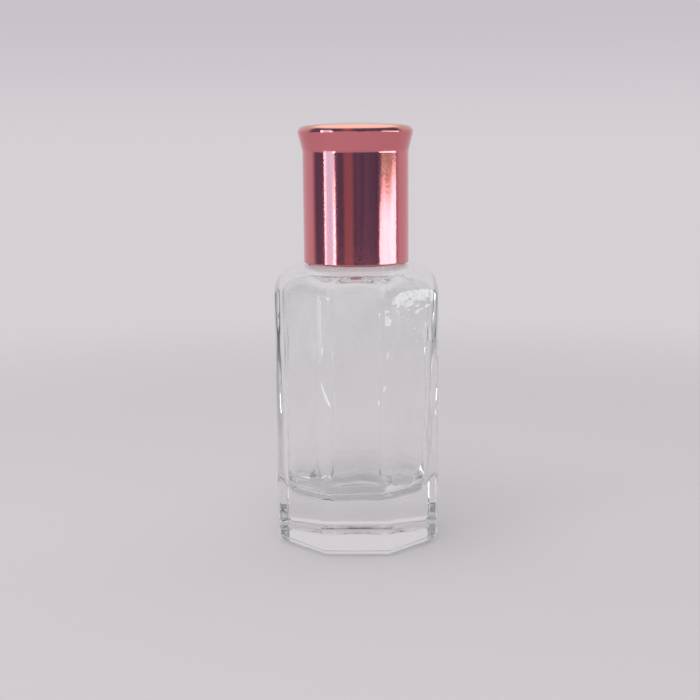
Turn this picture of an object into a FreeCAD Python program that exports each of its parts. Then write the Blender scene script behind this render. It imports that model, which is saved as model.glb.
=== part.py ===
import FreeCAD, Part

import math
import os

import Sketcher

# Roll-on bottle for perfume oil: an eight-sided glass bottle, a ball in a plug, and a lined screw cap.
# Millimetres, +Z up. The origin is at the middle of the base, on the surface that the bottle stands on.

# Driving dimensions, as lengths in millimetres, angles in degrees and counts.
SIZES = {
    # glass body
    "across_flats": 24.0,
    "body_height": 41.5,
    "facet_edge_round": 2.0,
    "shoulder_round": 5.0,
    "shoulder_slope": 7.0,
    "facet_top_round": 1.6,
    "base_round": 1.8,
    "foot_width": 3.0,
    "push_up_depth": 0.5,
    # hollow of the glass
    "wall_at_floor": 2.25,
    "cavity_draft": 1.2,
    "glass_floor": 7.4,
    "shoulder_wall": 1.9,
    "roof_slope": 18.0,
    "cavity_edge_round": 2.6,
    "cavity_floor_round": 2.0,
    # neck and its thread
    "bore_radius": 4.4,
    "bore_flare": 0.5,
    "neck_wall": 1.25,
    "neck_height": 9.9,
    "neck_root_round": 0.6,
    "rim_round": 0.45,
    "thread_pitch": 2.12,
    "thread_depth": 0.75,
    "thread_root_width": 1.2,
    "thread_crest_width": 0.56,
    "thread_crest_round": 0.35,
    "thread_sink": 0.2,
    "thread_start": 3.0,
    "thread_turns": 2.0,
    "thread_end_height": 0.06,
    # plug that holds the ball
    "plug_length": 4.5,
    "plug_clearance": 0.08,
    "plug_wall": 0.9,
    "plug_lead": 0.4,
    "bead_height": 0.06,
    "bead_width": 0.5,
    "bead_spacing": 1.3,
    "flange_inset": 0.3,
    "flange_thickness": 0.9,
    "seat_hole": 2.5,
    "seat_rise": 0.8,
    "seat_drop": 0.4,
    "cup_wall": 0.9,
    "cup_round": 0.5,
    "lip_grip": 1.5,
    "lip_thickness": 0.25,
    "lip_lead": 0.15,
    "wetting_slots": 4,
    "wetting_slot_width": 0.7,
    "wetting_slot_reach": 1.0,
    "wetting_slot_depth": 0.6,
    # ball
    "ball_radius": 4.0,
    "ball_clearance": 0.08,
    # disc in the top of the cap
    "seal_gap": 0.15,
    "seal_thickness": 0.8,
    "seal_play": 0.2,
    "seal_edge": 0.15,
    "seal_top_gap": 0.05,
    # threaded liner of the cap
    "cap_gap": 0.15,
    "sleeve_recess": 0.5,
    "crest_clearance": 0.15,
    "root_clearance": 0.2,
    "sleeve_wall": 0.55,
    "sleeve_roof": 0.7,
    "sleeve_thread_root": 0.9,
    "sleeve_thread_crest": 0.45,
    "sleeve_thread_turns": 1.5,
    "retainer_depth": 0.5,
    "retainer_height": 0.5,
    "retainer_gap": 0.1,
    "rib_count": 24,
    "rib_height": 0.2,
    "rib_width": 0.6,
    "rib_end_gap": 0.8,
    # metallised shell of the cap
    "rib_fit": 0.02,
    "shell_wall": 0.48,
    "shell_roof_gap": 0.05,
    "shell_edge_round": 0.2,
    "flare_width": 0.67,
    "flare_slope": 14.0,
    "flare_bend": 2.0,
    "rim_lip_round": 0.95,
    "rim_drop": 0.37,
    "crown_slope": 7.0,
}

# Radii and heights that follow from the driving dimensions.
PLACES = {
    # glass
    "corner_radius": "Sizes.across_flats / 2 / cos(22.5 deg)",
    "shoulder_flat": "corner_radius - Sizes.shoulder_round",
    "shoulder_start": "Sizes.body_height - Sizes.shoulder_round",
    "slope_radius": "shoulder_flat + Sizes.shoulder_round * sin(Sizes.shoulder_slope * 1 deg)",
    "slope_height": "shoulder_start + Sizes.shoulder_round * cos(Sizes.shoulder_slope * 1 deg)",
    "slope_fall": "tan(Sizes.shoulder_slope * 1 deg)",
    "push_up_radius": "Sizes.across_flats / 2 - Sizes.base_round - Sizes.foot_width",
    "cavity_half": "Sizes.across_flats / 2 - Sizes.wall_at_floor",
    "cavity_round": "Sizes.shoulder_round - Sizes.shoulder_wall",
    "roof_radius": "shoulder_flat + cavity_round * sin(Sizes.roof_slope * 1 deg)",
    "roof_height": "shoulder_start + cavity_round * cos(Sizes.roof_slope * 1 deg)",
    "roof_fall": "tan(Sizes.roof_slope * 1 deg)",
    "roof_top": "roof_height + (roof_radius - Sizes.bore_radius) * roof_fall",
    "mouth_reach": "Sizes.bore_flare * (1 - sin(Sizes.roof_slope * 1 deg))",
    "mouth_top": "roof_top + mouth_reach / cos(Sizes.roof_slope * 1 deg)",
    "mouth_foot": "mouth_top - Sizes.bore_flare * cos(Sizes.roof_slope * 1 deg)",
    "neck_radius": "Sizes.bore_radius + Sizes.neck_wall",
    "neck_top": "Sizes.body_height + Sizes.neck_height",
    "dome_height": "slope_height + (slope_radius - neck_radius) * slope_fall",
    "root_reach": "Sizes.neck_root_round * (1 - sin(Sizes.shoulder_slope * 1 deg))",
    "root_height": "dome_height + root_reach / cos(Sizes.shoulder_slope * 1 deg)",
    "root_foot": "root_height - Sizes.neck_root_round * cos(Sizes.shoulder_slope * 1 deg)",
    "thread_radius": "neck_radius + Sizes.thread_depth",
    "thread_low": "Sizes.body_height + Sizes.thread_start",
    "thread_high": "thread_low + Sizes.thread_turns * Sizes.thread_pitch",
    "thread_crest_flat": "sqrt(Sizes.thread_crest_round ^ 2 - Sizes.thread_crest_width ^ 2 / 4)",
    "thread_crest_bulge": "Sizes.thread_crest_round - thread_crest_flat",
    # plug and ball
    "plug_radius": "Sizes.bore_radius - Sizes.plug_clearance",
    "plug_bore": "plug_radius - Sizes.plug_wall",
    "plug_bottom": "neck_top - Sizes.plug_length",
    "flange_radius": "neck_radius - Sizes.flange_inset",
    "flange_top": "neck_top + Sizes.flange_thickness",
    "socket_radius": "Sizes.ball_radius + Sizes.ball_clearance",
    "seat_top": "neck_top + Sizes.seat_rise",
    "seat_bottom": "neck_top - Sizes.seat_drop",
    "ball_height": "seat_top + sqrt(socket_radius ^ 2 - Sizes.seat_hole ^ 2)",
    "cup_radius": "socket_radius + Sizes.cup_wall",
    "grip_height": "ball_height + Sizes.lip_grip",
    "grip_radius": "sqrt(socket_radius ^ 2 - Sizes.lip_grip ^ 2)",
    "lip_height": "grip_height + Sizes.lip_thickness",
    # cap, from the inside out
    "seal_low": "ball_height + Sizes.ball_radius + Sizes.seal_gap",
    "seal_high": "seal_low + Sizes.seal_thickness",
    "sleeve_bore": "thread_radius + Sizes.crest_clearance",
    "sleeve_crest": "neck_radius + Sizes.root_clearance",
    "sleeve_radius": "sleeve_bore + Sizes.sleeve_wall",
    "rib_radius": "sleeve_radius + Sizes.rib_height",
    "shell_bore": "rib_radius + Sizes.rib_fit",
    "cap_low": "slope_height + (slope_radius - shell_bore) * slope_fall + Sizes.cap_gap",
    "sleeve_low": "cap_low + Sizes.sleeve_recess",
    "sleeve_ceiling": "seal_high + Sizes.seal_top_gap",
    "sleeve_high": "sleeve_ceiling + Sizes.sleeve_roof",
    "sleeve_thread_low": "thread_low - Sizes.thread_pitch / 2",
    "retainer_high": "seal_low - Sizes.retainer_gap",
    "retainer_radius": "sleeve_bore - Sizes.retainer_depth",
    "shell_radius": "shell_bore + Sizes.shell_wall",
    "shell_ceiling": "sleeve_high + Sizes.shell_roof_gap",
    "rim_radius": "shell_radius + Sizes.flare_width",
    "rim_height": "shell_ceiling - Sizes.rim_drop",
    "flare_end_radius": "rim_radius - Sizes.rim_lip_round * (1 - cos(Sizes.flare_slope * 1 deg))",
    "flare_end_height": "rim_height - Sizes.rim_lip_round * sin(Sizes.flare_slope * 1 deg)",
    "bend_end_radius": "shell_radius + Sizes.flare_bend * (1 - cos(Sizes.flare_slope * 1 deg))",
    "flare_length": "(flare_end_radius - bend_end_radius) / tan(Sizes.flare_slope * 1 deg)",
    "bend_end_height": "flare_end_height - flare_length",
    "flare_start_height": "bend_end_height - Sizes.flare_bend * sin(Sizes.flare_slope * 1 deg)",
    "crown_radius": "rim_radius - Sizes.rim_lip_round * (1 - sin(Sizes.crown_slope * 1 deg))",
    "crown_edge_height": "rim_height + Sizes.rim_lip_round * cos(Sizes.crown_slope * 1 deg)",
    "crown_curve": "crown_radius / sin(Sizes.crown_slope * 1 deg)",
    "crown_height": "crown_edge_height + crown_curve * (1 - cos(Sizes.crown_slope * 1 deg))",
}

FACETS = 8
SEALING_BEADS = 2
ROUND_LIMIT = 0.9  # the round along a foot or floor stays under this share of the round of its corners
LEVEL = 1e-4  # how near a height an edge must lie to be taken as lying at it
LEFT = 1
RIGHT = -1

doc = FreeCAD.newDocument("roll_on_bottle")


def add_sheet(name, rows):
    """A sheet with one named cell for each row of the dictionary."""
    sheet = doc.addObject("Spreadsheet::Sheet", name)
    for line, (alias, content) in enumerate(rows.items(), start=1):
        sheet.set(f"A{line}", alias)
        sheet.set(f"B{line}", str(content))
        sheet.setAlias(f"B{line}", alias)
    doc.recompute()
    return sheet


sizes = add_sheet("Sizes", SIZES)
places = add_sheet("Places", {alias: f"={formula}" for alias, formula in PLACES.items()})


def number(expression):
    """The value of an expression in the two sheets."""
    value = places.evalExpression(str(expression))
    return float(getattr(value, "Value", value))


def origin_feature(body, role):
    """One of a body's own origin planes or axes."""
    return next(feature for feature in body.Origin.OriginFeatures if feature.Role == role)


def new_sketch(body, name, role, height=None):
    """An empty sketch on an origin plane of the body, lifted to a height where one is given."""
    sketch = body.newObject("Sketcher::SketchObject", name)
    sketch.AttachmentSupport = [(origin_feature(body, role), "")]
    sketch.MapMode = "FlatFace"
    if height:
        sketch.setExpression("AttachmentOffset.Base.z", height)
    return sketch


def drive(sketch, expression, *constraint):
    """Add a measured constraint and tie it to an expression."""
    index = sketch.addConstraint(Sketcher.Constraint(*constraint, number(expression)))
    sketch.setExpression(f"Constraints[{index}]", expression)


def add_arc(sketch, start, end, radius, turn):
    """Add the lesser arc from start to end and give the numbers of its first and last points."""
    chord = end - start
    aside = FreeCAD.Vector(-chord.y, chord.x, 0).normalize()
    rise = math.sqrt(radius**2 - chord.Length**2 / 4)
    centre = (start + end) * 0.5 + aside * (turn * rise)
    first, last = (start, end) if turn == LEFT else (end, start)
    angles = [math.atan2(point.y - centre.y, point.x - centre.x) for point in (first, last)]
    circle = Part.Circle(centre, FreeCAD.Vector(0, 0, 1), radius)
    sketch.addGeometry(Part.ArcOfCircle(circle, *angles), False)
    return (1, 2) if turn == LEFT else (2, 1)


def outline(body, name, corners, arcs=None, role="XZ_Plane", height=None):
    """A closed sketch through corners given as pairs of expressions.

    arcs gives, for the number of the corner where a curved side starts, its radius and the way it turns.
    """
    arcs = arcs or {}
    sketch = new_sketch(body, name, role, height)
    points = [FreeCAD.Vector(number(across), number(up), 0) for across, up in corners]
    ends = []
    for side, start in enumerate(points):
        end = points[(side + 1) % len(points)]
        if side in arcs:
            radius, turn = arcs[side]
            ends.append(add_arc(sketch, start, end, number(radius), turn))
        else:
            sketch.addGeometry(Part.LineSegment(start, end), False)
            ends.append((1, 2))
    for side, (across, up) in enumerate(corners):
        after = (side + 1) % len(corners)
        first, last = ends[side]
        sketch.addConstraint(Sketcher.Constraint("Coincident", side, last, after, ends[after][0]))
        for direction, axis, place in (("DistanceX", -2, across), ("DistanceY", -1, up)):
            if place == "0":
                sketch.addConstraint(Sketcher.Constraint("PointOnObject", side, first, axis))
            else:
                drive(sketch, place, direction, -1, 1, side, first)
        if side in arcs:
            drive(sketch, arcs[side][0], "Radius", side)
    doc.recompute()
    return sketch


def turn_solid(body, name, profile):
    """Turn a profile once round the Z axis and add it to the body."""
    feature = body.newObject("PartDesign::Revolution", name)
    feature.Profile = profile
    feature.ReferenceAxis = (origin_feature(body, "Z_Axis"), [""])
    feature.Angle = 360
    doc.recompute()
    return feature


def turn_cut(body, name, profile):
    """Turn a profile once round the Z axis and cut it from the body."""
    before = body.Shape.Volume
    feature = body.newObject("PartDesign::Groove", name)
    feature.Profile = profile
    feature.ReferenceAxis = (origin_feature(body, "Z_Axis"), [""])
    feature.Angle = 360
    doc.recompute()
    require_cut(feature, before)
    return feature


def straight_cut(body, name, profile, length, upward):
    """Cut a profile from the body over a length, up or down from its plane."""
    before = body.Shape.Volume
    feature = body.newObject("PartDesign::Pocket", name)
    feature.Profile = profile
    feature.setExpression("Length", length)
    feature.Reversed = upward
    doc.recompute()
    require_cut(feature, before)
    return feature


def require_cut(feature, before):
    """Stop where a cut took nothing away."""
    if not feature.Shape.Volume < before:
        raise RuntimeError(f"{feature.Name} cuts nothing")


def helical_ridge(body, name, profile, turns):
    """Wind a thread profile round the Z axis and add it to the body."""
    feature = body.newObject("PartDesign::AdditiveHelix", name)
    feature.Profile = profile
    feature.ReferenceAxis = (origin_feature(body, "Z_Axis"), [""])
    feature.Mode = "pitch-turns-angle"
    feature.setExpression("Pitch", "Sizes.thread_pitch")
    feature.setExpression("Turns", turns)
    feature.Angle = 0
    doc.recompute()
    return feature


def round_edges(body, name, wanted, radius):
    """Round the edges of the body's last feature that the test picks."""
    base = body.Tip
    edges = [f"Edge{count}" for count, edge in enumerate(base.Shape.Edges, start=1) if wanted(edge)]
    feature = body.newObject("PartDesign::Fillet", name)
    feature.Base = (base, edges)
    feature.setExpression("Radius", radius)
    doc.recompute()
    return feature


def rises(edge):
    """True for an edge that runs from bottom to top, straight up or with a draft."""
    box = edge.BoundBox
    return box.ZLength > max(box.XLength, box.YLength)


def lies_at(height):
    """A test for edges that lie flat at one height."""
    level = number(height)
    return lambda edge: max(abs(edge.BoundBox.ZMin - level), abs(edge.BoundBox.ZMax - level)) < LEVEL


def arches(edge):
    """True for an edge where the top of a facet, or of its rounded corner, meets the shoulder."""
    box = edge.BoundBox
    return box.ZMin > number("Places.shoulder_start") and box.ZMax < number("Places.slope_height") - LEVEL


def polar(radius, angle):
    """A point in plan, from its radius and its angle about the Z axis."""
    return f"({radius}) * cos({angle})", f"({radius}) * sin({angle})"


def octagon(half):
    """Corners of a regular octagon with flats square to X and Y, from half its width over flats."""
    reach = f"{half} / cos({180 / FACETS} deg)"
    return [polar(reach, f"{360 / FACETS * (facet + 0.5)} deg") for facet in range(FACETS)]


def pad(body, name, profile, length):
    """Raise a profile by a length and add it to the body."""
    feature = body.newObject("PartDesign::Pad", name)
    feature.Profile = profile
    feature.setExpression("Length", length)
    doc.recompute()
    return feature


def repeat_round(body, name, original, count):
    """Repeat a feature evenly round the Z axis."""
    pattern = body.newObject("PartDesign::PolarPattern", name)
    pattern.Originals = [original]
    pattern.Axis = (origin_feature(body, "Z_Axis"), [""])
    pattern.Angle = 360
    pattern.setExpression("Occurrences", count)
    body.Tip = pattern
    doc.recompute()
    return pattern


def run_out(body, name, low, end_angle):
    """Slant an end of the glass thread down to the neck, by a flat that just clears the neck."""
    faded = "(Places.neck_radius + Sizes.thread_end_height)"
    clear = "Places.thread_radius + Sizes.thread_sink"
    reach = f"acos({faded} / ({clear}))"
    corners = [
        polar(clear, f"{end_angle} - {reach}"),
        polar(f"({clear}) ^ 2 / {faded}", end_angle),
        polar(clear, f"{end_angle} + {reach}"),
    ]
    below = f"{low} - Sizes.thread_pitch / 2"
    plan = outline(body, f"{name}Plan", corners, role="XY_Plane", height=below)
    straight_cut(body, name, plan, "Sizes.thread_pitch", upward=True)


def make_bottle_form():
    """Outside of the glass: faceted body, round shoulder, foot and threaded neck, all solid."""
    body = doc.addObject("PartDesign::Body", "BottleForm")
    plan = outline(body, "FacetPlan", octagon("Sizes.across_flats / 2"), role="XY_Plane")
    pad(body, "FacetedBlock", plan, "Places.dome_height")
    round_edges(body, "FacetEdges", rises, "Sizes.facet_edge_round")

    shoulder = [
        ("Places.corner_radius", "Places.shoulder_start"),
        ("2 * Places.corner_radius", "Places.shoulder_start"),
        ("2 * Places.corner_radius", "2 * Sizes.body_height"),
        ("Places.neck_radius", "2 * Sizes.body_height"),
        ("Places.neck_radius", "Places.dome_height"),
        ("Places.slope_radius", "Places.slope_height"),
    ]
    shoulder_arc = {5: ("Sizes.shoulder_round", RIGHT)}
    turn_cut(body, "Shoulder", outline(body, "ShoulderProfile", shoulder, shoulder_arc))
    round_edges(body, "FacetTops", arches, "Sizes.facet_top_round")
    base_round = f"min(Sizes.base_round; Sizes.facet_edge_round * {ROUND_LIMIT})"
    round_edges(body, "BaseEdge", lies_at("0"), base_round)

    push_up = [
        ("0", "0"),
        ("Places.push_up_radius", "0"),
        ("0", "Sizes.push_up_depth"),
    ]
    push_up_curve = "(Places.push_up_radius ^ 2 + Sizes.push_up_depth ^ 2) / 2 / Sizes.push_up_depth"
    turn_cut(body, "PushUp", outline(body, "PushUpProfile", push_up, {1: (push_up_curve, LEFT)}))

    neck = [
        ("0", "Places.shoulder_start"),
        ("Places.neck_radius + Places.root_reach", "Places.shoulder_start"),
        ("Places.neck_radius + Places.root_reach", "Places.root_foot"),
        ("Places.neck_radius", "Places.root_height"),
        ("Places.neck_radius", "Places.neck_top - Sizes.rim_round"),
        ("Places.neck_radius - Sizes.rim_round", "Places.neck_top"),
        ("0", "Places.neck_top"),
    ]
    neck_arcs = {2: ("Sizes.neck_root_round", RIGHT), 4: ("Sizes.rim_round", LEFT)}
    turn_solid(body, "Neck", outline(body, "NeckProfile", neck, neck_arcs))

    root = "Places.neck_radius - Sizes.thread_sink"
    crest = "Places.thread_radius - Places.thread_crest_bulge"
    ridge = [
        (root, "Places.thread_low - Sizes.thread_root_width / 2"),
        (crest, "Places.thread_low - Sizes.thread_crest_width / 2"),
        (crest, "Places.thread_low + Sizes.thread_crest_width / 2"),
        (root, "Places.thread_low + Sizes.thread_root_width / 2"),
    ]
    profile = outline(body, "ThreadProfile", ridge, {1: ("Sizes.thread_crest_round", LEFT)})
    helical_ridge(body, "Thread", profile, "Sizes.thread_turns")
    run_out(body, "ThreadFoot", "Places.thread_low", "0 deg")
    run_out(body, "ThreadHead", "Places.thread_high", "Sizes.thread_turns * 360 deg")
    return body


def make_bottle_cavity():
    """Hollow of the glass: drafted octagon with a round floor and a sloped roof, and the neck's bore."""
    body = doc.addObject("PartDesign::Body", "BottleCavity")
    octagon_corners = octagon("Places.cavity_half")
    plan = outline(body, "CavityPlan", octagon_corners, role="XY_Plane", height="Sizes.glass_floor")
    block = pad(body, "CavityBlock", plan, "Places.roof_top - Sizes.glass_floor")
    block.setExpression("TaperAngle", "Sizes.cavity_draft")
    doc.recompute()
    round_edges(body, "CavityEdges", rises, "Sizes.cavity_edge_round")

    roof = [
        ("Places.shoulder_flat + Places.cavity_round", "Places.shoulder_start"),
        ("2 * Places.corner_radius", "Places.shoulder_start"),
        ("2 * Places.corner_radius", "2 * Sizes.body_height"),
        ("Sizes.bore_radius", "2 * Sizes.body_height"),
        ("Sizes.bore_radius", "Places.roof_top"),
        ("Places.roof_radius", "Places.roof_height"),
    ]
    roof_arc = {5: ("Places.cavity_round", RIGHT)}
    turn_cut(body, "CavityRoof", outline(body, "CavityRoofProfile", roof, roof_arc))
    floor_round = f"min(Sizes.cavity_floor_round; Sizes.cavity_edge_round * {ROUND_LIMIT})"
    round_edges(body, "CavityFloor", lies_at("Sizes.glass_floor"), floor_round)

    bore = [
        ("0", "Places.shoulder_start"),
        ("Sizes.bore_radius + Places.mouth_reach", "Places.shoulder_start"),
        ("Sizes.bore_radius + Places.mouth_reach", "Places.mouth_foot"),
        ("Sizes.bore_radius", "Places.mouth_top"),
        ("Sizes.bore_radius", "Places.neck_top + Sizes.rim_round"),
        ("0", "Places.neck_top + Sizes.rim_round"),
    ]
    turn_solid(body, "NeckBore", outline(body, "BoreProfile", bore, {2: ("Sizes.bore_flare", RIGHT)}))
    return body


def make_glass_bottle():
    """The glass itself, its outside less its hollow."""
    glass = doc.addObject("Part::Cut", "GlassBottle")
    glass.Base = make_bottle_form()
    glass.Tool = make_bottle_cavity()
    doc.recompute()
    return glass


def make_roller_housing():
    """Soft plug in the neck, with a cup above the rim that snaps round the ball."""
    body = doc.addObject("PartDesign::Body", "RollerHousing")
    corners = [
        ("Places.plug_bore", "Places.plug_bottom"),
        ("Places.plug_radius - Sizes.plug_lead", "Places.plug_bottom"),
        ("Places.plug_radius", "Places.plug_bottom + Sizes.plug_lead"),
    ]
    for bead in range(SEALING_BEADS):
        middle = f"Places.plug_bottom + Sizes.plug_lead + Sizes.bead_spacing * {bead + 0.5}"
        corners += [
            ("Places.plug_radius", f"{middle} - Sizes.bead_width / 2"),
            ("Places.plug_radius + Sizes.bead_height", middle),
            ("Places.plug_radius", f"{middle} + Sizes.bead_width / 2"),
        ]
    corners += [
        ("Places.plug_radius", "Places.neck_top"),
        ("Places.flange_radius", "Places.neck_top"),
        ("Places.flange_radius", "Places.flange_top"),
        ("Places.cup_radius", "Places.flange_top"),
    ]
    lip_arc = len(corners)
    corners += [
        ("Places.cup_radius", "Places.lip_height - Sizes.cup_round"),
        ("Places.cup_radius - Sizes.cup_round", "Places.lip_height"),
        ("Places.grip_radius + Sizes.lip_lead", "Places.lip_height"),
    ]
    socket_arc = len(corners)
    corners += [
        ("Places.grip_radius", "Places.grip_height"),
        ("Sizes.seat_hole", "Places.seat_top"),
        ("Sizes.seat_hole", "Places.seat_bottom"),
        ("Places.plug_bore", "Places.seat_bottom - Places.plug_bore + Sizes.seat_hole"),
    ]
    arcs = {lip_arc: ("Sizes.cup_round", LEFT), socket_arc: ("Places.socket_radius", RIGHT)}
    turn_solid(body, "HousingTurning", outline(body, "HousingProfile", corners, arcs))

    inner = "Sizes.seat_hole / 2"
    outer = "Sizes.seat_hole + Sizes.wetting_slot_reach"
    half = "Sizes.wetting_slot_width / 2"
    slot = [(inner, f"-{half}"), (outer, f"-{half}"), (outer, half), (inner, half)]
    low = "Places.seat_top - Sizes.wetting_slot_depth"
    plan = outline(body, "WettingSlotPlan", slot, role="XY_Plane", height=low)
    cut = straight_cut(body, "WettingSlot", plan, "Places.ball_height - Places.seat_top", upward=True)
    repeat_round(body, "WettingSlots", cut, "Sizes.wetting_slots")
    return body


def make_roller_ball():
    """The ball, held in the socket of the plug."""
    ball = doc.addObject("Part::Sphere", "RollerBall")
    ball.setExpression("Radius", "Sizes.ball_radius")
    ball.setExpression("Placement.Base.z", "Places.ball_height")
    doc.recompute()
    return ball


def make_seal_disc():
    """Soft disc that lies in the top of the liner and closes on the ball."""
    body = doc.addObject("PartDesign::Body", "SealDisc")
    radius = "Places.sleeve_bore - Sizes.seal_play"
    corners = [
        ("0", "Places.seal_low"),
        (f"{radius} - Sizes.seal_edge", "Places.seal_low"),
        (radius, "Places.seal_low + Sizes.seal_edge"),
        (radius, "Places.seal_high - Sizes.seal_edge"),
        (f"{radius} - Sizes.seal_edge", "Places.seal_high"),
        ("0", "Places.seal_high"),
    ]
    turn_solid(body, "SealTurning", outline(body, "SealProfile", corners))
    return body


def make_inner_sleeve():
    """Threaded liner: a cup with an inside thread, a bead under the disc and ribs to grip the shell."""
    body = doc.addObject("PartDesign::Body", "InnerSleeve")
    corners = [
        ("Places.sleeve_bore", "Places.sleeve_low"),
        ("Places.sleeve_radius", "Places.sleeve_low"),
        ("Places.sleeve_radius", "Places.sleeve_high"),
        ("0", "Places.sleeve_high"),
        ("0", "Places.sleeve_ceiling"),
        ("Places.sleeve_bore", "Places.sleeve_ceiling"),
        ("Places.sleeve_bore", "Places.retainer_high"),
        ("Places.retainer_radius", "Places.retainer_high - Sizes.retainer_height / 2"),
        ("Places.sleeve_bore", "Places.retainer_high - Sizes.retainer_height"),
    ]
    turn_solid(body, "SleeveTurning", outline(body, "SleeveProfile", corners))

    root = "Places.sleeve_bore + Sizes.thread_sink"
    ridge = [
        ("Places.sleeve_crest", "Places.sleeve_thread_low - Sizes.sleeve_thread_crest / 2"),
        (root, "Places.sleeve_thread_low - Sizes.sleeve_thread_root / 2"),
        (root, "Places.sleeve_thread_low + Sizes.sleeve_thread_root / 2"),
        ("Places.sleeve_crest", "Places.sleeve_thread_low + Sizes.sleeve_thread_crest / 2"),
    ]
    profile = outline(body, "SleeveThreadProfile", ridge)
    helical_ridge(body, "SleeveThread", profile, "Sizes.sleeve_thread_turns")

    inner = "Places.sleeve_radius - Sizes.rib_height"
    outer = "Places.rib_radius"
    half = "Sizes.rib_width / 2"
    rib = [(inner, f"-{half}"), (outer, f"-{half}"), (outer, half), (inner, half)]
    low = "Places.sleeve_low + Sizes.rib_end_gap"
    plan = outline(body, "RibPlan", rib, role="XY_Plane", height=low)
    length = "Places.sleeve_high - Places.sleeve_low - 2 * Sizes.rib_end_gap"
    repeat_round(body, "Ribs", pad(body, "Rib", plan, length), "Sizes.rib_count")
    return body


def make_cap_shell():
    """Metallised shell: a tube that flares to a round lip, closed by a low crown."""
    body = doc.addObject("PartDesign::Body", "CapShell")
    corners = [
        ("Places.shell_bore", "Places.cap_low"),
        ("Places.shell_radius - Sizes.shell_edge_round", "Places.cap_low"),
        ("Places.shell_radius", "Places.cap_low + Sizes.shell_edge_round"),
        ("Places.shell_radius", "Places.flare_start_height"),
        ("Places.bend_end_radius", "Places.bend_end_height"),
        ("Places.flare_end_radius", "Places.flare_end_height"),
        ("Places.crown_radius", "Places.crown_edge_height"),
        ("0", "Places.crown_height"),
        ("0", "Places.shell_ceiling"),
        ("Places.shell_bore", "Places.shell_ceiling"),
    ]
    arcs = {
        1: ("Sizes.shell_edge_round", LEFT),
        3: ("Sizes.flare_bend", RIGHT),
        5: ("Sizes.rim_lip_round", LEFT),
        6: ("Places.crown_curve", LEFT),
    }
    turn_solid(body, "ShellTurning", outline(body, "ShellProfile", corners, arcs))
    return body


def write_parts(parts):
    """Check every object and write each sub-part to its own file."""
    doc.recompute()
    failed = [item.Name for item in doc.Objects if {"Invalid", "Error"} & set(item.State)]
    if failed:
        raise RuntimeError(f"not built: {failed}")
    for label, part in parts.items():
        if part.Shape.isNull() or not part.Shape.isValid():
            raise RuntimeError(f"{label} has no valid shape")
        if len(part.Shape.Solids) != 1:
            raise RuntimeError(f"{label} has {len(part.Shape.Solids)} solids")
        part.Label = label
    os.makedirs("parts", exist_ok=True)
    for label, part in parts.items():
        part.Shape.exportStep(os.path.join("parts", f"{label}.step"))
        print(f"{label}: {part.Shape.Volume:.1f} cubic mm")


write_parts(
    {
        "glass_bottle": make_glass_bottle(),
        "roller_housing": make_roller_housing(),
        "roller_ball": make_roller_ball(),
        "cap_seal_disc": make_seal_disc(),
        "cap_inner_sleeve": make_inner_sleeve(),
        "cap_shell": make_cap_shell(),
    }
)
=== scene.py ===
import math

import bpy
from mathutils import Euler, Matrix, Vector


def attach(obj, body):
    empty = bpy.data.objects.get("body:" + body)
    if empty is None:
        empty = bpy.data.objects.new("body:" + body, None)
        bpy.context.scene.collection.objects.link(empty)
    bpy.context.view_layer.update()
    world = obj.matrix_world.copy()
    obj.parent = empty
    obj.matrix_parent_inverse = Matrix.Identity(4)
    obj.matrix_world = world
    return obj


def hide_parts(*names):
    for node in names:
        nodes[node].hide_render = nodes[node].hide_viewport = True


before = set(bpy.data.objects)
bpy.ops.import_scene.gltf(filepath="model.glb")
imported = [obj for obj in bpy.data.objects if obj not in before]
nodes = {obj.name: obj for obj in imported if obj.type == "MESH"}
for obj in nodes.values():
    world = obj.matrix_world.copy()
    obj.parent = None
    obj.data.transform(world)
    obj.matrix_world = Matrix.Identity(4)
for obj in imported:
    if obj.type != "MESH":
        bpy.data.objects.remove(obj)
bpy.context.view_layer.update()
print("frame loaded:", ", ".join(sorted(nodes)))


# small helpers for node trees

def addNode(tree, kind, inputs=None, **settings):
    node = tree.nodes.new(kind)
    for name, value in settings.items():
        setattr(node, name, value)
    for name, value in (inputs or {}).items():
        socket = node.inputs[name]
        if isinstance(value, bpy.types.NodeSocket):
            tree.links.new(value, socket)
        else:
            socket.default_value = value
    return node


def mathNode(tree, operation, a, b=0.0):
    return addNode(tree, "ShaderNodeMath", {0: a, 1: b}, operation=operation).outputs[0]


def vectorNode(tree, operation, a, b=(0.0, 0.0, 0.0)):
    return addNode(tree, "ShaderNodeVectorMath", {0: a, 1: b}, operation=operation).outputs


def spread(tree, value, low, high, newLow=0.0, newHigh=1.0, smooth=False):
    kind = "SMOOTHSTEP" if smooth else "LINEAR"
    return addNode(
        tree,
        "ShaderNodeMapRange",
        {"Value": value, "From Min": low, "From Max": high, "To Min": newLow, "To Max": newHigh},
        interpolation_type=kind,
    ).outputs["Result"]


def noise(tree, vector, scale, detail=3.0, roughness=0.5, distortion=0.0):
    return addNode(
        tree,
        "ShaderNodeTexNoise",
        {"Vector": vector, "Scale": scale, "Detail": detail, "Roughness": roughness, "Distortion": distortion},
    ).outputs["Fac"]


def blendColours(tree, factor, a, b):
    mix = addNode(tree, "ShaderNodeMix", data_type="RGBA")
    for index, value in ((0, factor), (6, a), (7, b)):
        if isinstance(value, bpy.types.NodeSocket):
            tree.links.new(value, mix.inputs[index])
        else:
            mix.inputs[index].default_value = value if index == 0 else (*value, 1.0)
    return mix.outputs[2]


def mixShaders(tree, factor, a, b):
    return addNode(tree, "ShaderNodeMixShader", {0: factor, 1: a, 2: b}).outputs[0]


def seeThrough(tree, colour=(1.0, 1.0, 1.0)):
    return addNode(tree, "ShaderNodeBsdfTransparent", {"Color": (*colour, 1.0)}).outputs[0]


def lightPath(tree):
    return addNode(tree, "ShaderNodeLightPath").outputs


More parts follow.
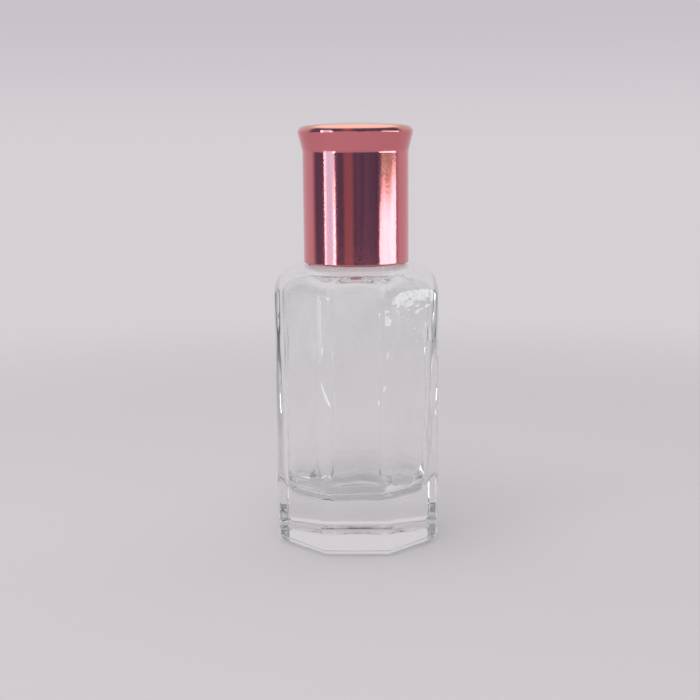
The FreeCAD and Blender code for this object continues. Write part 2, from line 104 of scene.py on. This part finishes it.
def bump(tree, height, distance, normal=None):
    inputs = {"Height": height, "Distance": distance, "Strength": 1.0}
    if normal is not None:
        inputs["Normal"] = normal
    return addNode(tree, "ShaderNodeBump", inputs).outputs["Normal"]


def startMaterial(name):
    material = bpy.data.materials.new(name)
    material.use_nodes = True
    tree = material.node_tree
    tree.nodes.clear()
    skin = addNode(tree, "ShaderNodeBsdfPrincipled")
    place = addNode(tree, "ShaderNodeTexCoord").outputs["Object"]
    return material, tree, skin, place


def finishMaterial(tree, shader):
    out = addNode(tree, "ShaderNodeOutputMaterial")
    tree.links.new(shader, out.inputs["Surface"])


def dress(name, material):
    mesh = nodes[name].data
    mesh.materials.clear()
    mesh.materials.append(material)


def addToScene(thing):
    bpy.context.scene.collection.objects.link(thing)


# glass of the bottle, blown in an eight-sided mould: soft facet tops, uneven inside

glassShape = {             # millimetres
    "half": 12.0,          # half the width over flats
    "edgeRound": 2.0,
    "baseRound": 1.6,
    "footInside": 7.2,
    "pushUp": 0.3,
    "shoulderRound": 5.0,
    "shoulderCentre": (7.989, 36.5),
    "shoulderSlope": 7.0,  # degrees
    "topRound": 3.0,       # the flats run over into the shoulder with this round
    "neck": 5.65,
    "neckTop": 51.4,
    "rootRound": 0.6,
    "rimRound": 0.45,
    "bore": 4.4,
    "boreLip": 0.12,
    "boreFlare": 0.5,
    "roofTop": 41.0,       # the roof of the hollow is a flat dome round the bore
    "roofRound": 9.0,
    "roofTurn": 0.95,      # radians, past this turn the dome lies outside the wall
    "roofBlend": 0.9,
    "floor": 7.4,
    "floorHalf": 9.75,
    "floorRound": 3.2,
    "draft": 1.2,          # degrees
    "hollowEdge": 2.6,
    "leastEdge": 0.3,
    "ripple": 0.05,
    "sag": 0.5,            # the glass is thicker low on the right
    "sagHeight": 28.0,
    "threadLow": 44.5,
    "threadPitch": 2.12,
    "threadTurns": 2.0,
    "threadDepth": 0.75,
    "threadRoot": 0.6,     # half widths of the ridge
    "threadCrest": 0.28,
    "threadEnd": 0.06,
    "threadFade": 0.6,     # radians, each end runs out along a flat
}

glassRows = {              # rows of faces along each stretch of the section
    "pushUp": 6,
    "base": 6,
    "side": 4,
    "facetTop": 10,
    "shoulder": 8,
    "root": 5,
    "neck": 72,
    "rim": 5,
    "lip": 3,
    "bore": 8,
    "flare": 5,
    "roof": 20,
    "wall": 36,
    "floorRound": 10,
    "floor": 6,
}

# degrees from a corner to the middle of a flat
cornerSteps = (0, 0.9, 1.8, 2.7, 3.6, 4.6, 6, 8, 10.5, 13.3, 16.3, 19.4)

# slow waves of the inside: size, count round the wall, climb per millimetre, start
blowingWaves = ((1.0, 3, 0.31, 0.0), (0.8, 8, 0.42, 1.1), (0.6, 13, -0.40, 2.0))

quarter = math.pi / 2
millimetre = 0.001


def facetAngles():
    angles = []
    for corner in range(8):
        at = 22.5 + 45.0 * corner
        angles += [at + step for step in cornerSteps]
        angles += [at + 45.0 - step for step in (22.5, *reversed(cornerSteps[1:]))]
    return [math.radians(a) for a in angles]


def octagonReach(angle, half, edge):
    eighth = math.radians(22.5)
    off = (angle + eighth) % (2 * eighth) - eighth
    if abs(math.tan(off)) * half <= (half - edge) * math.tan(eighth):
        return half / math.cos(off)
    centre = (half - edge) / math.cos(eighth)
    lean = eighth - abs(off)
    return centre * math.cos(lean) + math.sqrt(edge ** 2 - (centre * math.sin(lean)) ** 2)


def softLeast(a, b, reach):
    mix = max(reach - abs(a - b), 0.0) / reach
    return min(a, b) - mix * mix * reach / 4


def steps(count):
    return [(n + 1) / count for n in range(count)]


def ridgeReach(angle, height, shape):
    # the neck with its thread
    reach = shape["neck"]
    last = 2 * math.pi * shape["threadTurns"]
    for turn in range(int(shape["threadTurns"]) + 1):
        wound = angle + 2 * math.pi * turn
        if wound > last:
            break
        off = abs(height - shape["threadLow"] - shape["threadPitch"] * wound / (2 * math.pi))
        slant = (shape["threadRoot"] - off) / (shape["threadRoot"] - shape["threadCrest"])
        ridge = shape["neck"] + shape["threadDepth"] * min(max(slant, 0.0), 1.0)
        for turned in (wound, last - wound):
            if turned < shape["threadFade"]:
                ridge = min(ridge, (shape["neck"] + shape["threadEnd"]) / math.cos(turned))
        reach = max(reach, ridge)
    return reach


def outsideCurve(angle, shape, rows):
    # one section of the outside, from the middle of the base up to the rim
    half, edge, base = shape["half"], shape["edgeRound"], shape["baseRound"]
    curve = [(shape["footInside"] * k, shape["pushUp"] * (1 - k * k)) for k in steps(rows["pushUp"])]
    for k in [0.0] + steps(rows["base"]):
        inset = base * (1 - math.sin(k * quarter))
        reach = octagonReach(angle, half - inset, edge - inset)
        curve.append((reach, base * (1 - math.cos(k * quarter))))

    # up the flat, over its soft top and along the shoulder
    side = octagonReach(angle, half, edge)
    wide, low = shape["shoulderCentre"]
    big, small = shape["shoulderRound"], shape["topRound"]
    inner = side - small - wide
    top = low + math.sqrt((big - small) ** 2 - inner ** 2)
    curve += [(side, base + (top - base) * k) for k in steps(rows["side"])]
    turn = math.atan2(top - low, inner)
    for k in steps(rows["facetTop"]):
        curve.append((side - small + small * math.cos(turn * k), top + small * math.sin(turn * k)))
    slope = math.radians(shape["shoulderSlope"])
    last = quarter - slope
    for k in steps(rows["shoulder"]):
        at = turn + (last - turn) * k
        curve.append((wide + big * math.cos(at), low + big * math.sin(at)))

    # into the neck and up to the rim
    edgeReach, edgeHeight = curve[-1]
    neck, root = shape["neck"], shape["rootRound"]
    foot = edgeHeight + (edgeReach - neck) * math.tan(slope)
    rootTop = foot + root * (1 - math.sin(slope)) / math.cos(slope)
    for k in [0.0] + steps(rows["root"]):
        at = slope + (quarter - slope) * k
        curve.append((neck + root - root * math.sin(at), rootTop - root * math.cos(at)))
    rim = shape["rimRound"]
    rimLow = shape["neckTop"] - rim
    for k in steps(rows["neck"]):
        height = rootTop + (rimLow - rootTop) * k
        curve.append((ridgeReach(angle, height, shape), height))
    for k in steps(rows["rim"]):
        curve.append((neck - rim + rim * math.cos(k * quarter), rimLow + rim * math.sin(k * quarter)))
    return curve


def wander(angle, height):
    # uneven blowing, strongest on the right
    waves = sum(size * math.sin(count * angle + climb * height + start) for size, count, climb, start in blowingWaves)
    rings = 0.2 * math.sin(0.9 * height + 2.0 * math.sin(2 * angle))
    right = 1.6 * math.cos(angle / 2) ** 12 * math.sin(0.7 * height + 1.5 * math.sin(0.4 * height))
    return waves + rings + right


def wallReach(angle, height, shape, inset=0.0):
    above = height - shape["floor"]
    half = shape["floorHalf"] + above * math.tan(math.radians(shape["draft"])) - inset
    low = max(1.0 - above / shape["sagHeight"], 0.0)
    uneven = shape["ripple"] * wander(angle, height) - shape["sag"] * low * math.cos(angle)
    return octagonReach(angle, half, max(shape["hollowEdge"] - inset, shape["leastEdge"])) + uneven


def insideCurve(angle, shape, rows):
    # one section of the inside, from the rim down to the middle of the glass floor
    bore, lip, flare = shape["bore"], shape["boreLip"], shape["boreFlare"]
    roofTop, bend = shape["roofTop"], shape["roofRound"]
    lipLow = shape["neckTop"] - lip
    mouth = roofTop + flare
    curve = []
    for k in [0.0] + steps(rows["lip"]):
        curve.append((bore + lip - lip * math.sin(k * quarter), lipLow + lip * math.cos(k * quarter)))
    curve += [(bore, lipLow + (mouth - lipLow) * k) for k in steps(rows["bore"])]
    for k in steps(rows["flare"]):
        curve.append((bore + flare - flare * math.cos(k * quarter), mouth - flare * math.sin(k * quarter)))

    # over the dome of the roof and down the wall
    for k in steps(rows["roof"]):
        at = shape["roofTurn"] * k
        height = roofTop - bend * (1 - math.cos(at))
        dome = bore + flare + bend * math.sin(at)
        curve.append((softLeast(dome, wallReach(angle, height, shape), shape["roofBlend"]), height))
    top = curve[-1][1]
    floor, floorRound = shape["floor"], shape["floorRound"]
    for k in steps(rows["wall"]):
        height = top + (floor + floorRound - top) * k
        curve.append((wallReach(angle, height, shape), height))
    for k in steps(rows["floorRound"]):
        height = floor + floorRound * (1 - math.sin(k * quarter))
        inset = floorRound * (1 - math.cos(k * quarter))
        curve.append((wallReach(angle, height, shape, inset), height))
    reach = curve[-1][0]
    curve += [(reach * (1 - k), floor) for k in steps(rows["floor"])[:-1]]
    return curve


def makeGlass(shape, rows):
    angles = facetAngles()
    sections = [outsideCurve(a, shape, rows) + insideCurve(a, shape, rows) for a in angles]
    rowCount, count = len(sections[0]), len(angles)
    points = [(0.0, 0.0, shape["pushUp"])]
    for row in range(rowCount):
        for column, angle in enumerate(angles):
            reach, height = sections[column][row]
            points.append((reach * math.cos(angle), reach * math.sin(angle), height))
    points.append((0.0, 0.0, shape["floor"]))
    final = len(points) - 1
    faces = []
    for column in range(count):
        after = (column + 1) % count
        faces.append((0, 1 + after, 1 + column))
        for row in range(rowCount - 1):
            here = 1 + row * count
            faces.append((here + column, here + after, here + count + after, here + count + column))
        here = 1 + (rowCount - 1) * count
        faces.append((here + column, here + after, final))
    mesh = bpy.data.meshes.new("mouldedGlass")
    mesh.from_pydata([[v * millimetre for v in p] for p in points], [], faces)
    mesh.shade_smooth()
    glass = bpy.data.objects.new("mouldedGlass", mesh)
    addToScene(glass)
    return glass


glassLook = {              # metres
    "clear": (1.0, 1.0, 1.0),
    "deep": (0.985, 0.992, 0.99),
    "cloudScale": 90.0,
    "ior": 1.51,
    "smoothest": 0.0,
    "roughest": 0.02,
    "smudgeScale": 260.0,
    "stretch": (1.0, 1.0, 0.35),
    "insideRipple": 0.00003,
    "insideScale": 190.0,
    "insideReach": 0.011,  # the hollow lies nearer the axis than this
    "insideFade": 0.0003,
    "skinRipple": 0.00001,
    "skinScale": 320.0,
    "dimple": 0.00007,
    "dimpleScale": 750.0,
    "dimplePlace": (0.0078, -0.009, 0.0375),
    "dimpleReach": (0.0056, 0.002),
    "mostTurns": 2.5,
    "freed": (0.95, 0.955, 0.96),
    "shadow": (0.97, 0.975, 0.975),
}


def glassMaterial(look):
    material, tree, skin, place = startMaterial("clearGlass")
    cloud = noise(tree, place, look["cloudScale"], 2.0)
    tint = blendColours(tree, cloud, look["clear"], look["deep"])
    tree.links.new(tint, skin.inputs["Base Color"])
    smudge = noise(tree, place, look["smudgeScale"], 4.0, 0.6)
    rough = spread(tree, smudge, 0.45, 0.75, look["smoothest"], look["roughest"])
    tree.links.new(rough, skin.inputs["Roughness"])
    skin.inputs["IOR"].default_value = look["ior"]
    skin.inputs["Transmission Weight"].default_value = 1.0

    # the inside is rippled by the blowing, the outside is kept flat by the mould
    across = vectorNode(tree, "MULTIPLY", place, (1.0, 1.0, 0.0))["Vector"]
    reach = vectorNode(tree, "LENGTH", across)["Value"]
    inside = spread(tree, reach, look["insideReach"], look["insideReach"] - look["insideFade"])
    stretched = addNode(tree, "ShaderNodeMapping", {"Vector": place, "Scale": look["stretch"]}).outputs[0]
    ripple = noise(tree, stretched, look["insideScale"], 1.5, 0.4, 0.6)
    inner = bump(tree, mathNode(tree, "MULTIPLY", ripple, inside), look["insideRipple"])
    skinWave = noise(tree, stretched, look["skinScale"], 1.0, 0.4)
    waved = bump(tree, skinWave, look["skinRipple"], inner)

    # the mould left small dimples high on the right front
    off = vectorNode(tree, "DISTANCE", place, look["dimplePlace"])["Value"]
    near = spread(tree, off, *look["dimpleReach"], smooth=True)
    dimples = mathNode(tree, "MULTIPLY", noise(tree, place, look["dimpleScale"], 1.0), near)
    tree.links.new(bump(tree, dimples, look["dimple"], waved), skin.inputs["Normal"])

    # light caught in the wall gets out after a few turns,
    # and lamps shine through instead of casting a solid shadow
    path = lightPath(tree)
    caught = mathNode(tree, "GREATER_THAN", path["Glossy Depth"], look["mostTurns"])
    freed = mixShaders(tree, caught, skin.outputs[0], seeThrough(tree, look["freed"]))
    finishMaterial(tree, mixShaders(tree, path["Is Shadow Ray"], freed, seeThrough(tree, look["shadow"])))
    return material


glass = makeGlass(glassShape, glassRows)
glass.data.materials.append(glassMaterial(glassLook))
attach(glass, "bottle")
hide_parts("glass_bottle")
print("glass blown:", len(glass.data.polygons), "faces")


# rose metallised shell of the cap

shellLook = {
    "rose": (0.75, 0.235, 0.26),
    "shade": (0.71, 0.21, 0.24),
    "cloudScale": 220.0,
    "paintedLipReflection": (0.82, 0.43, 0.34),   # painted reflection: copper tint where the lip mirrors the warm ceiling
    "lip": (0.0607, 0.0614),
    "roughness": (0.06, 0.15),
    "grain": 0.000005,
    "grainScale": 3800.0,
    "peel": 0.000002,
    "peelScale": 700.0,
    "lacquer": 0.25,
    "lacquerRoughness": 0.05,
}


def shellMaterial(look):
    material, tree, skin, place = startMaterial("roseMetallised")
    cloud = noise(tree, place, look["cloudScale"])
    rose = blendColours(tree, cloud, look["rose"], look["shade"])
    height = addNode(tree, "ShaderNodeSeparateXYZ", {0: place}).outputs["Z"]
    # painted reflection: a band round the lip is tinted copper, standing in for the warm ceiling it mirrors
    lip = spread(tree, height, *look["lip"], smooth=True)
    tree.links.new(blendColours(tree, lip, rose, look["paintedLipReflection"]), skin.inputs["Base Color"])
    skin.inputs["Metallic"].default_value = 1.0
    skin.inputs["Coat Weight"].default_value = look["lacquer"]
    skin.inputs["Coat Roughness"].default_value = look["lacquerRoughness"]
    grain = noise(tree, place, look["grainScale"], 2.0, 0.6)
    tree.links.new(spread(tree, grain, 0.3, 0.7, *look["roughness"]), skin.inputs["Roughness"])
    soft = bump(tree, noise(tree, place, look["peelScale"], 1.0), look["peel"])
    tree.links.new(bump(tree, grain, look["grain"], soft), skin.inputs["Normal"])
    finishMaterial(tree, skin.outputs[0])
    return material


dress("cap_shell", shellMaterial(shellLook))
print("cap shell dressed")


# white plastics inside the cap and the neck

housingLook = {
    "light": (0.86, 0.86, 0.84),
    "dark": (0.80, 0.80, 0.78),
    "roughness": (0.32, 0.46),
    "milk": 0.35,
}
sleeveLook = {
    "light": (0.90, 0.90, 0.89),
    "dark": (0.85, 0.85, 0.84),
    "roughness": (0.25, 0.38),
    "milk": 0.1,
}
plasticGrain = {
    "cloudScale": 480.0,
    "grainScale": 2600.0,
    "grain": 0.000004,
    "milkRadius": (0.0008, 0.0007, 0.0006),
}
sealLook = {
    "light": (0.91, 0.91, 0.90),
    "dark": (0.82, 0.82, 0.81),
    "roughness": (0.70, 0.88),
    "cell": 0.00003,
    "cellScale": 2800.0,
}


def plasticMaterial(name, look, grainLook):
    material, tree, skin, place = startMaterial(name)
    cloud = noise(tree, place, grainLook["cloudScale"])
    tree.links.new(blendColours(tree, cloud, look["light"], look["dark"]), skin.inputs["Base Color"])
    grain = noise(tree, place, grainLook["grainScale"], 3.0, 0.6)
    tree.links.new(spread(tree, grain, 0.3, 0.7, *look["roughness"]), skin.inputs["Roughness"])
    tree.links.new(bump(tree, grain, grainLook["grain"]), skin.inputs["Normal"])
    skin.inputs["Subsurface Weight"].default_value = look["milk"]
    skin.inputs["Subsurface Radius"].default_value = grainLook["milkRadius"]
    skin.inputs["Subsurface Scale"].default_value = 1.0
    finishMaterial(tree, skin.outputs[0])
    return material


def foamMaterial(look):
    material, tree, skin, place = startMaterial("sealFoam")
    cells = addNode(tree, "ShaderNodeTexVoronoi", {"Vector": place, "Scale": look["cellScale"]}).outputs["Distance"]
    tree.links.new(blendColours(tree, cells, look["dark"], look["light"]), skin.inputs["Base Color"])
    tree.links.new(spread(tree, cells, 0.1, 0.8, *look["roughness"]), skin.inputs["Roughness"])
    tree.links.new(bump(tree, cells, look["cell"]), skin.inputs["Normal"])
    finishMaterial(tree, skin.outputs[0])
    return material


dress("roller_housing", plasticMaterial("naturalPlastic", housingLook, plasticGrain))
dress("cap_inner_sleeve", plasticMaterial("linerPlastic", sleeveLook, plasticGrain))
dress("cap_seal_disc", foamMaterial(sealLook))
print("plastics dressed")


# polished ball

ballLook = {
    "light": (0.74, 0.745, 0.75),
    "dark": (0.66, 0.665, 0.67),
    "cloudScale": 380.0,
    "roughness": (0.05, 0.14),
    "scuff": 0.000001,
    "scuffScale": 1800.0,
}


def ballMaterial(look):
    material, tree, skin, place = startMaterial("ballSteel")
    cloud = noise(tree, place, look["cloudScale"], 4.0)
    tree.links.new(blendColours(tree, cloud, look["light"], look["dark"]), skin.inputs["Base Color"])
    skin.inputs["Metallic"].default_value = 1.0
    scuff = noise(tree, place, look["scuffScale"], 5.0, 0.65, 1.2)
    tree.links.new(spread(tree, scuff, 0.35, 0.75, *look["roughness"]), skin.inputs["Roughness"])
    tree.links.new(bump(tree, scuff, look["scuff"]), skin.inputs["Normal"])
    finishMaterial(tree, skin.outputs[0])
    return material


dress("roller_ball", ballMaterial(ballLook))
print("ball dressed")


# stage: pale floor that fades into the backdrop colour, and soft light

floorLook = {
    "colour": (0.60, 0.573, 0.578),
    "roughness": 0.65,
    "radius": 0.6,
    "corners": 96,
    "drop": 0.00005,       # the foot doesn't lie in the plane of the floor
    "fade": (0.08, 0.26),  # metres from the middle
}


def makeFloor(look):
    mesh = bpy.data.meshes.new("floor")
    count, radius = look["corners"], look["radius"]
    turns = [2 * math.pi * n / count for n in range(count)]
    ring = [(radius * math.cos(a), radius * math.sin(a), 0.0) for a in turns]
    mesh.from_pydata(ring, [], [tuple(range(count))])
    floor = bpy.data.objects.new("floor", mesh)
    floor.location.z = -look["drop"]
    addToScene(floor)
    material, tree, skin, place = startMaterial("paleFloor")
    skin.inputs["Base Color"].default_value = (*look["colour"], 1.0)
    skin.inputs["Roughness"].default_value = look["roughness"]
    skin.inputs["Specular IOR Level"].default_value = 0.0
    gone = spread(tree, vectorNode(tree, "LENGTH", place)["Value"], *look["fade"], smooth=True)
    finishMaterial(tree, mixShaders(tree, gone, skin.outputs[0], seeThrough(tree)))
    mesh.materials.append(material)


worldLook = {
    "backdropLow": (0.665, 0.632, 0.662),
    "backdropHigh": (0.57, 0.54, 0.58),
    "backdropRise": (0.0, 0.13),
    "front": (0.15, 0.185, 0.28),        # dim colours that the cap mirrors
    "frontDark": (0.09, 0.105, 0.16),
    "frontScale": 5.0,
    "warmStrip": (0.34, 0.25, 0.26),     # a little left of the camera
    "warmTurn": 0.26,
    "warmReach": (0.24, 0.10),
    "behind": (0.05, 0.35),
    "table": (0.60, 0.575, 0.585),
    "tableEdge": (-0.10, -0.14),
    "ceiling": (0.75, 0.74, 0.76),
    "brightCeiling": (1.25, 1.22, 1.24),
    "ceilingEdge": (0.55, 0.8),
    "glassDark": (0.14, 0.14, 0.16),     # the glass sees paler, broken colours
    "glassPale": (0.50, 0.50, 0.53),
    "glassScale": 9.0,
    "glassBehind": (0.30, 0.65),
    "glassTableEdge": (-0.10, -0.28),
    "glassCeiling": (0.55, 0.53, 0.57),
}


def makeWorld(look):
    world = bpy.data.worlds.new("studio")
    bpy.context.scene.world = world
    world.use_nodes = True
    tree = world.node_tree
    tree.nodes.clear()
    ray = addNode(tree, "ShaderNodeTexCoord").outputs["Generated"]
    x, y, z = addNode(tree, "ShaderNodeSeparateXYZ", {0: ray}).outputs
    path = lightPath(tree)

    def edge(value, key):
        return spread(tree, value, *look[key], smooth=True)

    backdrop = blendColours(tree, edge(z, "backdropRise"), look["backdropLow"], look["backdropHigh"])
    above = edge(z, "ceilingEdge")

    # what the cap mirrors: dim in front, with one warm strip, and a bright ceiling
    broken = spread(tree, noise(tree, ray, look["frontScale"]), 0.35, 0.7)
    front = blendColours(tree, broken, look["front"], look["frontDark"])
    turn = mathNode(tree, "ARCTAN2", x, mathNode(tree, "MULTIPLY", y, -1.0))
    offStrip = mathNode(tree, "ABSOLUTE", mathNode(tree, "ADD", turn, look["warmTurn"]))
    front = blendColours(tree, edge(offStrip, "warmReach"), front, look["warmStrip"])
    mirrored = blendColours(tree, edge(y, "behind"), front, look["backdropLow"])
    mirrored = blendColours(tree, edge(z, "tableEdge"), mirrored, look["table"])
    ceiling = blendColours(tree, path["Is Glossy Ray"], look["ceiling"], look["brightCeiling"])
    mirrored = blendColours(tree, above, mirrored, ceiling)

    # what shows through the glass
    patches = spread(tree, noise(tree, ray, look["glassScale"]), 0.42, 0.56)
    through = blendColours(tree, patches, look["glassDark"], look["glassPale"])
    through = blendColours(tree, edge(y, "glassBehind"), through, look["backdropLow"])
    through = blendColours(tree, edge(z, "glassTableEdge"), through, look["table"])
    through = blendColours(tree, above, through, look["glassCeiling"])
    caught = mathNode(tree, "GREATER_THAN", path["Glossy Depth"], 1.5)
    inGlass = mathNode(tree, "MAXIMUM", path["Is Transmission Ray"], caught)

    seen = blendColours(tree, inGlass, mirrored, through)
    shown = blendColours(tree, path["Is Camera Ray"], seen, backdrop)
    glow = addNode(tree, "ShaderNodeBackground", {"Color": shown, "Strength": 1.0})
    out = addNode(tree, "ShaderNodeOutputWorld")
    tree.links.new(glow.outputs[0], out.inputs["Surface"])


lampLook = {
    "place": (-0.12, -0.18, 0.62),
    "target": (0.0, 0.0, 0.04),
    "size": 0.5,
    "power": 2.5,
}


def makeLamp(name, look):
    data = bpy.data.lights.new(name, "AREA")
    data.shape = "RECTANGLE"
    data.size = look["size"]
    data.size_y = look["size"]
    data.energy = look["power"]
    lamp = bpy.data.objects.new(name, data)
    lamp.location = look["place"]
    aim = Vector(look["target"]) - Vector(look["place"])
    lamp.rotation_euler = aim.to_track_quat("-Z", "Y").to_euler()
    lamp.visible_transmission = False
    lamp.visible_glossy = False    # the cap mirrors the ceiling instead
    addToScene(lamp)


# lit panes that the cap and the glass mirror, in degrees of azimuth and elevation seen from the bottle:
# azimuth 0 is towards the camera of the photo, positive to the right

def upright(left, right, low, high):
    return [(left, low), (right, low), (right, high), (left, high)]


white = (1.0, 1.0, 1.0)
leaf = [
    (97, -0.05), (90, -0.15), (80, -0.5), (70, -1.0), (62, -1.5),
    (56.5, -2.0), (53.5, -2.8), (52.5, -4.0), (52.5, -7.2), (97, -7.2),
]

panes = {
    "leftWindow": {
        "outline": upright(-68, -45, -12, 16), "distance": 0.6,
        "colour": (0.47, 0.88, 1.0), "strength": 2.15, "mottle": 0.5,
    },
    "leftFrame": {
        "outline": upright(-70, -67, -12, 16), "distance": 0.58,
        "colour": white, "strength": 4.5,
    },
    "rightFrame": {
        "outline": upright(-49, -44, -12, -0.9), "distance": 0.58,
        "colour": white, "strength": 4.5,
    },
    "rightWindow": {
        "outline": leaf, "distance": 0.5,
        "colour": (0.92, 1.0, 1.0), "strength": 3.6, "mottle": 0.6,
    },
    "warmWall": {
        "outline": upright(57, 97, -1.6, 3.0), "distance": 0.52,
        "colour": (0.75, 1.0, 0.62), "strength": 0.65, "mottle": 0.5,
    },
    "leftCardFar": {
        "outline": upright(-62, -36, -8.0, -6.6), "distance": 0.2, "height": 0.035,
        "colour": white, "strength": 7.0, "mottle": 0.6, "onlyInside": True,
    },
    "leftCardNear": {
        "outline": upright(-62, -36, -12.8, -11.4), "distance": 0.095, "height": 0.0225,
        "colour": white, "strength": 6.0, "mottle": 0.6, "onlyInside": True,
    },
    "rightCard": {
        "outline": upright(38, 56, -13.6, -11.4), "distance": 0.1, "height": 0.025,
        "colour": white, "strength": 5.0, "mottle": 0.6, "onlyInside": True,
    },
}

paneLook = {
    "insideColour": (0.9, 0.9, 0.92),    # glints inside the glass are white
    "mottleScale": 120.0,
    "mottleSpread": (0.35, 0.65),
}


def around(azimuth, elevation, distance, height):
    a, e = math.radians(azimuth), math.radians(elevation)
    flat = distance * math.cos(e)
    return (flat * math.sin(a), -flat * math.cos(a), height + distance * math.sin(e))


def makePane(name, outline, distance, colour, strength, mottle=0.0, height=0.05, onlyInside=False):
    mesh = bpy.data.meshes.new(name)
    corners = [around(a, e, distance, height) for a, e in outline]
    mesh.from_pydata(corners, [], [tuple(range(len(corners)))])
    pane = bpy.data.objects.new(name, mesh)
    pane.visible_camera = False
    pane.visible_diffuse = False    # it gives reflections and leaves the floor as it is
    pane.visible_transmission = onlyInside
    addToScene(pane)

    material = bpy.data.materials.new(name)
    material.use_nodes = True
    tree = material.node_tree
    tree.nodes.clear()
    place = addNode(tree, "ShaderNodeTexCoord").outputs["Object"]
    path = lightPath(tree)
    cloud = noise(tree, place, paneLook["mottleScale"], 6.0, 0.65)
    level = spread(tree, cloud, *paneLook["mottleSpread"], strength * (1 - mottle), strength * (1 + mottle))
    inside = mathNode(tree, "GREATER_THAN", path["Transmission Depth"], 0.5)
    tone = blendColours(tree, inside, colour, paneLook["insideColour"])
    shader = addNode(tree, "ShaderNodeEmission", {"Color": tone, "Strength": level}).outputs[0]
    if onlyInside:    # mirrored by the inside of the glass, but not seen straight through it nor on its skin
        turns = mathNode(tree, "MINIMUM", path["Glossy Depth"], path["Transmission Depth"])
        mirrored = mathNode(tree, "GREATER_THAN", turns, 0.5)
        shader = mixShaders(tree, mirrored, seeThrough(tree), shader)
    finishMaterial(tree, shader)
    mesh.materials.append(material)


makeFloor(floorLook)
makeWorld(worldLook)
makeLamp("topSoftbox", lampLook)
for name, pane in panes.items():
    makePane(name, **pane)
print("stage set")


# camera as in the photo

cameraLook = {
    "place": (0.00247, -0.17318, 0.0573),
    "turn": 1.17,      # degrees about the bottle
    "tilt": 9.46,      # degrees below the horizon
    "roll": -0.53,
    "lens": 59.8,
    "sensor": 36.0,
    "nearest": 0.001,
}


def makeCamera(look):
    data = bpy.data.cameras.new("camera")
    data.lens = look["lens"]
    data.sensor_width = look["sensor"]
    data.clip_start = look["nearest"]
    camera = bpy.data.objects.new("camera", data)
    camera.location = look["place"]
    turned = Euler((0.0, 0.0, math.radians(look["turn"]))).to_matrix()
    tilted = Euler((math.radians(90.0 - look["tilt"]), 0.0, 0.0)).to_matrix()
    rolled = Euler((0.0, 0.0, math.radians(look["roll"]))).to_matrix()
    camera.rotation_euler = (turned @ tilted @ rolled).to_euler()
    addToScene(camera)
    bpy.context.scene.camera = camera


makeCamera(cameraLook)
bpy.context.scene.view_settings.view_transform = "Standard"
print("camera placed")
